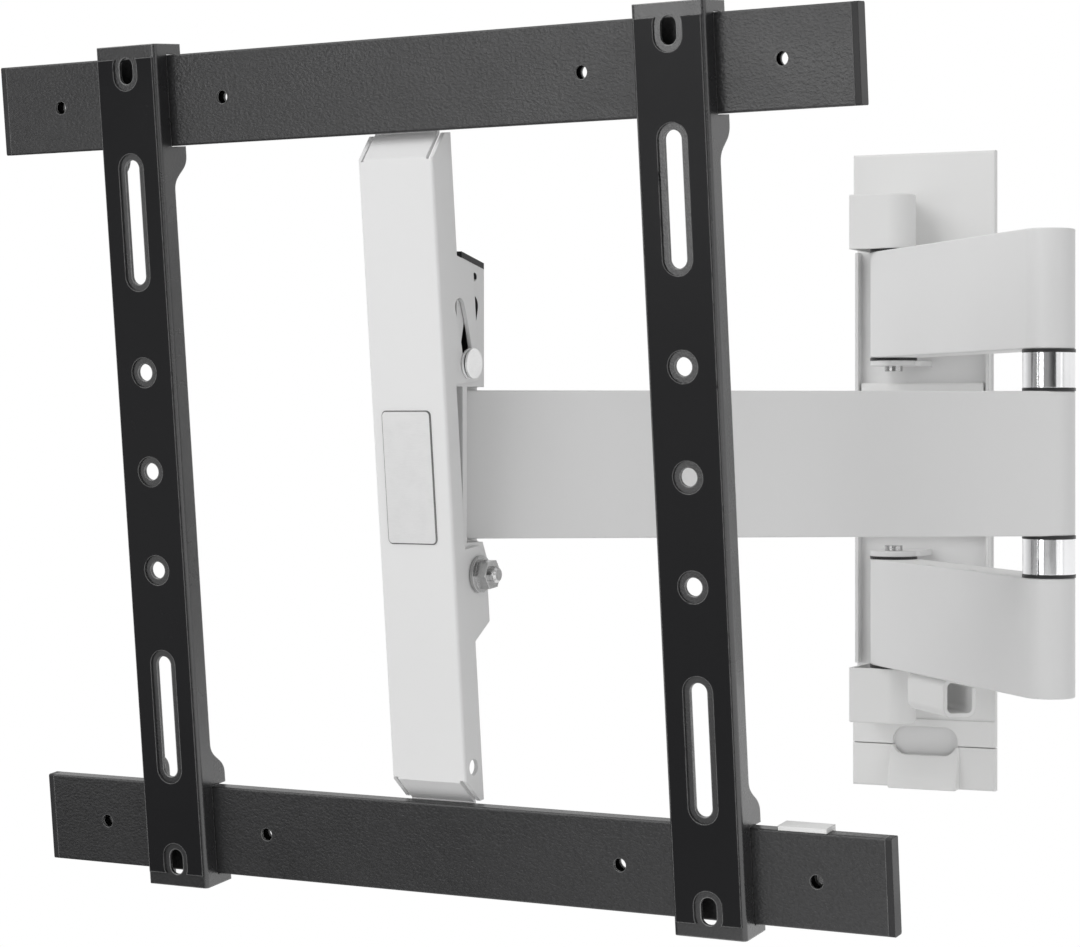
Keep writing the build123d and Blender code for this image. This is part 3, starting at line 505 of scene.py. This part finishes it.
# Tilt pin: a steel pin with a satin button at each end, which slides in the crossing
# slots of the head and the post. The walls of the groove turned in each button carry
# painted shade, a near-black colour.
groove_radius = 0.0065
groove_band = 0.0005
groove_painted_shade = (0.02, 0.02, 0.02, 1)
satin_steel_groove_shade = metallic(
    "satin_steel_groove_shade",
    colour=grey(0.90),
    dull=grey(0.80),
    rough=(0.42, 0.54),
    line_scale=1500.0,
    line_depth=0.000004,
    edge_radius=0.0005,
)
tree = satin_steel_groove_shade.node_tree
cut = add_group(tree, cut_wall, {"Axis": tilt_axis, "Middle": middle_of("tilt_pin")})
radius = vector_maths(tree, "LENGTH", vector_maths(tree, "CROSS_PRODUCT", cut["Offset"], tilt_axis))
miss = maths(tree, "ABSOLUTE", maths(tree, "SUBTRACT", radius, groove_radius))
near = spread(tree, miss, span=(groove_band, groove_band / 2))
# Painted shade: a near-black ring on the groove walls of each button.
paint_shade(satin_steel_groove_shade, maths(tree, "MULTIPLY", cut["Wall"], near), groove_painted_shade)
dress(satin_steel_groove_shade, "tilt_pin")

# Post: one piece of sheet steel, cut, folded and powder coated, with open corners
# where its folds meet. Tabs at its ends carry the rails.
dress(white_coat, "post")

# Plaque: a small bare plate of brushed aluminium, stuck to the front of the post. Its
# rim is chamfered all round, and the chamfer and the cut side get a dark metal that is
# painted shade, standing in for the shadow along the rim.
plaque_width = 0.0275
plaque_height = 0.0645
plaque_gauge = 0.0008
plaque_corner = 0.0025
plaque_chamfer = 0.0006
straight_ahead = -0.9
smooth_angle = math.radians(35)
screen_lean = math.radians(6.0)
plate_turn = Euler((screen_lean, 0.0, screen_turn))


def select_edges(piece, wanted):
    """Leave the piece in edit mode with the edges selected whose two ends the test accepts."""
    bpy.ops.object.mode_set(mode="EDIT")
    bpy.ops.mesh.select_mode(type="EDGE")
    bpy.ops.mesh.select_all(action="DESELECT")
    bpy.ops.object.mode_set(mode="OBJECT")
    corners = piece.data.vertices
    for edge in piece.data.edges:
        edge.select = wanted(*(corners[end].co for end in edge.vertices))
    bpy.ops.object.mode_set(mode="EDIT")


bpy.ops.object.select_all(action="DESELECT")
bpy.ops.mesh.primitive_cube_add(size=1.0)
plaque = bpy.context.object
plaque.name = "brushed_plaque"
plaque.scale = (plaque_width, plaque_gauge, plaque_height)
bpy.ops.object.transform_apply(location=False, rotation=False, scale=True)
select_edges(plaque, lambda start, end: abs(start.y - end.y) > plaque_gauge / 2)
bpy.ops.mesh.bevel(offset=plaque_corner, segments=8, affect="EDGES")
select_edges(plaque, lambda start, end: max(start.y, end.y) < -plaque_gauge / 4)
bpy.ops.mesh.bevel(offset=plaque_chamfer, segments=1, affect="EDGES")
bpy.ops.object.mode_set(mode="OBJECT")
bpy.ops.object.shade_smooth_by_angle(angle=smooth_angle)
for face in plaque.data.polygons:
    face.material_index = int(face.normal.y > straight_ahead)
plaque.location = middle_of("plaque")
plaque.rotation_euler = plate_turn
bpy.ops.object.transform_apply(location=True, rotation=True, scale=True)
plaque_metal = metallic(
    "plaque_metal",
    colour=grey(0.78),
    dull=grey(0.75),
    rough=(0.56, 0.66),
    line_scale=2600.0,
    line_depth=0.000005,
    edge_radius=0.0002,
    stretch=(0.03, 1, 1),
)
# Painted shade: a dark metal for the chamfer and the cut side of the plaque.
plaque_edge_painted_shade = metallic(
    "plaque_edge_painted_shade",
    colour=grey(0.17),
    dull=grey(0.12),
    rough=(0.40, 0.50),
    line_scale=1500.0,
    line_depth=0.000004,
    edge_radius=0.0002,
)
plaque.data.materials.append(plaque_metal)
plaque.data.materials.append(plaque_edge_painted_shade)
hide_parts("plaque")
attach(plaque, "screen_frame")

# Rails: flat steel tubes with a black powder coat that dries with a fine leathery
# grain, closed at the ends by black moulded caps. A pale clip holds cables.
grain_coat = coated(
    "leathery_black_coat",
    colour=(0.021, 0.021, 0.022),
    worn_and_sheen=grey(0.20),
    rough=(0.28, 0.38),
    # Pale edge colour, laid on strongly: partly wear, mostly a painted highlight along the rounded edges.
    peel_scale=860.0,
    peel_depth=0.0002,
    wear_and_sheen=1.6,
    edge_radius=0.0008,
    specular=0.6,
    speckle=0.30,
    stretch=(0.7, 1, 1),
)
dress(grain_coat, "top_rail", "bottom_rail")
dress(cap_plastic, "rail_end_caps")
dress(white_moulding, "rail_cable_clip")

# Screws: plated steel with rolled pan heads and a cross recess. Two at each end hold
# the post's tabs to the rails, and their heads show from behind.
screw_head = 0.011
screw_head_height = 0.0033
screw_shank = 0.006
screw_round = 0.0015
cross_length = 0.0054
cross_width = 0.0011
cross_depth = 0.0017
quarter_turn = math.pi / 2


def select_faces(piece, wanted):
    """Leave the piece in edit mode with the faces selected that the test accepts."""
    bpy.ops.object.mode_set(mode="EDIT")
    bpy.ops.mesh.select_mode(type="FACE")
    bpy.ops.mesh.select_all(action="DESELECT")
    bpy.ops.object.mode_set(mode="OBJECT")
    for face in piece.data.polygons:
        face.select = wanted(face)
    bpy.ops.object.mode_set(mode="EDIT")


def upright_box(node):
    """The lowest and highest corners of a node of the screen frame, with its turn and lean undone."""
    undo = plate_turn.to_matrix().inverted()
    places = [undo @ corner.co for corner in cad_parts[node].data.vertices]
    return [[pick(place[axis] for place in places) for axis in range(3)] for pick in (min, max)]


def cross_head_screw(reach):
    """A screw that lies along Y, with the top of its head at the origin and its shank that long."""
    bpy.ops.object.select_all(action="DESELECT")
    bpy.ops.mesh.primitive_cylinder_add(
        vertices=48,
        radius=screw_head / 2,
        depth=screw_head_height,
        location=(0.0, -screw_head_height / 2, 0.0),
        rotation=(quarter_turn, 0.0, 0.0),
    )
    screw = bpy.context.object
    bpy.ops.object.transform_apply(location=True, rotation=True, scale=True)
    select_faces(screw, lambda face: face.normal.y < straight_ahead)
    bpy.ops.mesh.inset(thickness=(screw_head - screw_shank) / 2)
    bpy.ops.mesh.extrude_region_move(TRANSFORM_OT_translate={"value": (0.0, -reach, 0.0)})
    select_edges(screw, lambda start, end: min(start.y, end.y) > -screw_head_height / 4)
    bpy.ops.mesh.bevel(offset=screw_round, segments=6, affect="EDGES")
    bpy.ops.object.mode_set(mode="OBJECT")
    bpy.ops.object.select_all(action="DESELECT")
    bpy.ops.mesh.primitive_cube_add(size=1.0)
    blade = bpy.context.object
    blade.scale = (cross_length, 2 * cross_depth, cross_width)
    for turn in (0.0, quarter_turn):
        blade.rotation_euler = (0.0, turn, 0.0)
        slit = screw.modifiers.new("slit", "BOOLEAN")
        slit.operation = "DIFFERENCE"
        slit.object = blade
        bpy.context.view_layer.objects.active = screw
        bpy.ops.object.modifier_apply(modifier=slit.name)
    bpy.data.objects.remove(blade)
    return screw


screws_low, screws_high = upright_box("rail_screws")
screw = cross_head_screw(screws_high[1] - screws_low[1] - screw_head_height)
bpy.ops.object.select_all(action="DESELECT")
for across in (screws_low[0] + screw_head / 2, screws_high[0] - screw_head / 2):
    for up in (screws_low[2] + screw_head / 2, screws_high[2] - screw_head / 2):
        placed = screw.copy()
        placed.data = screw.data.copy()
        bpy.context.scene.collection.objects.link(placed)
        placed.location = plate_turn.to_matrix() @ Vector((across, screws_high[1], up))
        placed.rotation_euler = plate_turn
        placed.select_set(True)
bpy.data.objects.remove(screw)
bpy.context.view_layer.objects.active = placed
bpy.ops.object.join()
bpy.ops.object.transform_apply(location=True, rotation=True, scale=True)
bpy.ops.object.shade_smooth_by_angle(angle=smooth_angle)
placed.name = "cross_head_screws"
placed.data.materials.append(zinc)
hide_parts("rail_screws")
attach(placed, "screen_frame")

# Brackets: folded black steel uprights that hook over the rails, with a strip of
# smooth black rubber on the face that the screen is drawn against.
bracket_coat = coated(
    "bracket_black_coat",
    colour=(0.020, 0.020, 0.021),
    worn_and_sheen=grey(0.26),
    # Pale edge colour, laid on strongly: partly wear, mostly a painted highlight along the rounded edges.
    rough=(0.22, 0.32),
    peel_scale=1000.0,
    peel_depth=0.00008,
    wear_and_sheen=2.0,
    edge_radius=0.001,
    specular=0.85,
    speckle=0.22,
)
dress(bracket_coat, "left_bracket", "right_bracket")
strip_rubber = coated(
    "strip_rubber",
    colour=(0.015, 0.015, 0.016),
    # Pale edge colour, laid on strongly: partly wear, mostly a painted highlight along the rounded edges.
    worn_and_sheen=grey(0.22),
    rough=(0.20, 0.28),
    peel_scale=500.0,
    peel_depth=0.00001,
    wear_and_sheen=2.4,
    edge_radius=0.0008,
    specular=0.09,
)
dress(strip_rubber, "left_bracket_pad", "right_bracket_pad")

# Floor: a broad pale disc below the mount, which keeps its shadow and fades to white
# further out. Glossy parts mirror it brighter to the right and far away, like studio
# card, and from below it is clear.
floor_radius = 6.0
floor_place = (-0.08, -0.22, -0.46)
floor_colour = (0.86, 0.86, 0.86, 1)
floor_rough = 0.9
shadow_span = (0.75, 1.1)
card_span = (-0.60, 0.15)
card_glow = (0.05, 1.50)
far_span = (1.0, 1.8)
far_glow = (0.0, 0.90)
pure_white = (1.0, 1.0, 1.0, 1.0)


def mixed_shader(tree, factor, first, second):
    """The second shader in place of the first, by a factor."""
    node = tree.nodes.new("ShaderNodeMixShader")
    for socket, value in zip(node.inputs, (factor, first, second)):
        feed(tree, socket, value)
    return node.outputs["Shader"]


def seen_white(tree, path):
    """The rays of the camera, straight or through something clear, which see plain white."""
    return maths(tree, "MAXIMUM", path["Is Camera Ray"], path["Is Transmission Ray"])


bpy.ops.object.select_all(action="DESELECT")
bpy.ops.mesh.primitive_circle_add(vertices=96, radius=floor_radius, fill_type="NGON", location=floor_place)
floor = bpy.context.object
floor.name = "floor"
floor_white = bpy.data.materials.new("floor_white")
floor_white.use_nodes = True
tree = floor_white.node_tree
matt = tree.nodes["Principled BSDF"]
matt.inputs["Base Color"].default_value = floor_colour
matt.inputs["Roughness"].default_value = floor_rough
matt.inputs["Specular IOR Level"].default_value = 0.0
path = tree.nodes.new("ShaderNodeLightPath").outputs
place = own_place(tree)
distance = vector_maths(tree, "LENGTH", place)
card = spread(tree, split_vector(tree, place)["X"], card_span, card_glow)
card = maths(tree, "MAXIMUM", card, spread(tree, distance, far_span, far_glow))
glow = tree.nodes.new("ShaderNodeEmission")
feed(tree, glow.inputs["Color"], blend_colour(tree, path["Is Glossy Ray"], pure_white, card))
faded = maths(tree, "MULTIPLY", spread(tree, distance, shadow_span), seen_white(tree, path))
glowing = maths(tree, "MAXIMUM", faded, path["Is Glossy Ray"])
top = mixed_shader(tree, glowing, matt.outputs["BSDF"], glow.outputs["Emission"])
clear = tree.nodes.new("ShaderNodeBsdfTransparent").outputs["BSDF"]
below = tree.nodes.new("ShaderNodeNewGeometry").outputs["Backfacing"]
feed(tree, tree.nodes["Material Output"].inputs["Surface"], mixed_shader(tree, below, top, clear))
floor.data.materials.append(floor_white)

# Surround: plain white to the camera, with a weaker even light on the mount. Glossy
# parts mirror a room that is dim in front and has one dark corner to the right.
soft_strength = 0.46
room_front = (-0.2, -0.98, 0.0)
front_span = (-0.2, 0.7)
front_dim = (1.0, 0.30)
room_corner = (0.72, -0.69, 0.0)
corner_span = (0.80, 0.97)
corner_dim = (1.0, 0.12)
world = bpy.data.worlds.new("surround")
bpy.context.scene.world = world
world.use_nodes = True
tree = world.node_tree
tree.nodes.remove(tree.nodes["Background"])
way = tree.nodes.new("ShaderNodeTexCoord").outputs["Generated"]
front = spread(tree, vector_maths(tree, "DOT_PRODUCT", way, room_front), front_span, front_dim)
corner = spread(tree, vector_maths(tree, "DOT_PRODUCT", way, room_corner), corner_span, corner_dim)


def surround(tree, strength):
    """A white surround of some strength."""
    node = tree.nodes.new("ShaderNodeBackground")
    feed(tree, node.inputs["Color"], pure_white)
    feed(tree, node.inputs["Strength"], strength)
    return node.outputs["Background"]


room = surround(tree, maths(tree, "MULTIPLY", front, corner))
path = tree.nodes.new("ShaderNodeLightPath").outputs
lit = mixed_shader(tree, path["Is Glossy Ray"], surround(tree, soft_strength), room)
shown = mixed_shader(tree, seen_white(tree, path), lit, surround(tree, 1.0))
feed(tree, tree.nodes["World Output"].inputs["Surface"], shown)

# Lamps: a large soft key from the upper left, a low lamp in front that the black parts
# mirror, and a weak fill from the right.
lamp_target = (-0.08, -0.25, 0.0)


def soft_light(name, place, size, power):
    """A rectangular lamp that points from its place at the mount."""
    light = bpy.data.lights.new(name, "AREA")
    light.shape = "RECTANGLE"
    light.size, light.size_y = size
    light.energy = power
    lamp = bpy.data.objects.new(name, light)
    bpy.context.scene.collection.objects.link(lamp)
    lamp.location = place
    x, y, z = (end - start for start, end in zip(place, lamp_target))
    lamp.rotation_euler = (math.atan2(math.hypot(x, y), -z), 0.0, math.atan2(y, x) - quarter_turn)


soft_light("key", place=(-2.6, -3.4, 3.4), size=(3.8, 3.8), power=112.0)
soft_light("front", place=(-2.0, -4.8, 0.2), size=(2.4, 1.6), power=36.0)
soft_light("fill", place=(1.9, -1.2, 0.6), size=(1.2, 1.8), power=6.0)

# Camera: level, in front of the mount and to its right, with its frame moved down a
# little, as in the photograph.
camera_place = (0.4537, -1.5644, 0.0274)
camera_turn = math.radians(24)
camera_data = bpy.data.cameras.new("camera")
camera_data.sensor_fit = "HORIZONTAL"
camera_data.sensor_width = 36.0
camera_data.lens = 93.55
camera_data.shift_y = -0.0473
camera = bpy.data.objects.new("camera", camera_data)
bpy.context.scene.collection.objects.link(camera)
camera.location = camera_place
camera.rotation_euler = (quarter_turn, 0.0, camera_turn)
bpy.context.scene.camera = camera
bpy.context.scene.view_settings.view_transform = "Standard"
